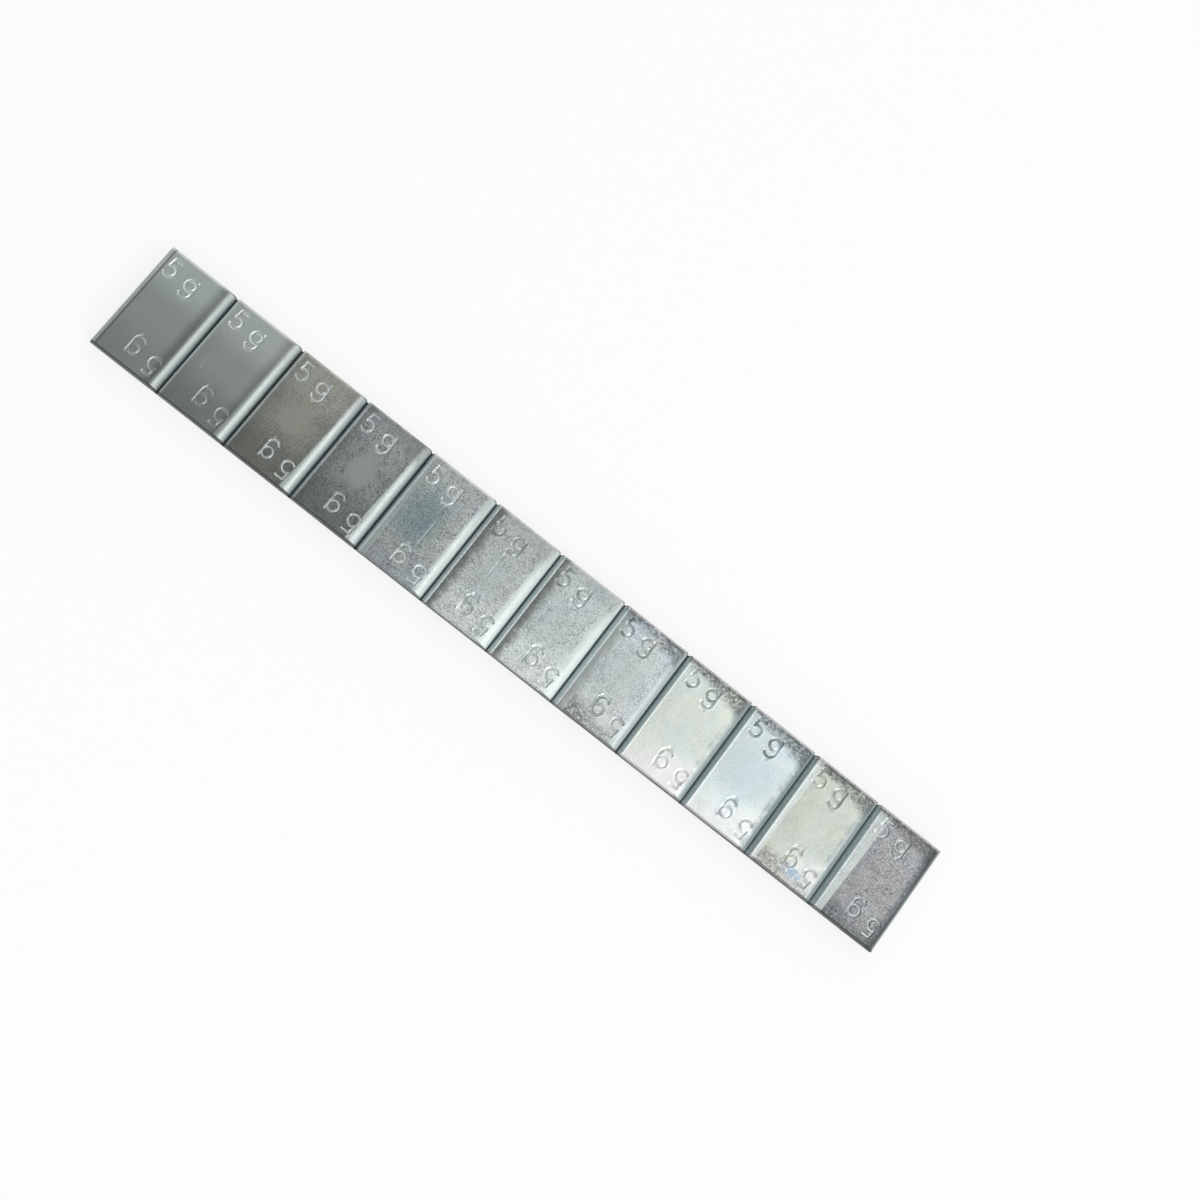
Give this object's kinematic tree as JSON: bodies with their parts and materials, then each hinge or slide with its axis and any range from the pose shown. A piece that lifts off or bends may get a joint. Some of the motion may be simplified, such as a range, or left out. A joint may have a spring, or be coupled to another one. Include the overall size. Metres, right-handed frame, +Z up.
{
  "type": "wheel balance weight",
  "caption": "Zinc-plated steel strip of break-off pads divided by deep cross grooves, on black foam tape with a blue release liner, stuck inside a wheel rim to balance it.",
  "frame": {"origin": "middle of the release liner's underside, the face that the strip lies on", "axes": "+X along the strip, +Y across it, +Z up from the liner to the grooved face of the pads"},
  "size_m": [0.15, 0.019, 0.0037],
  "materials": {
    "zinc_steel": "zinc-plated and passivated, satin with fine grain and a faint blue and yellow tint",
    "black_foam": "closed-cell foam, matt",
    "blue_liner": "smooth release film, half gloss"
  },
  "bodies": {
    "root": {"steel_strip": "zinc_steel", "foam_tape": "black_foam", "release_liner": "blue_liner"}
  },
  "joints": []
}
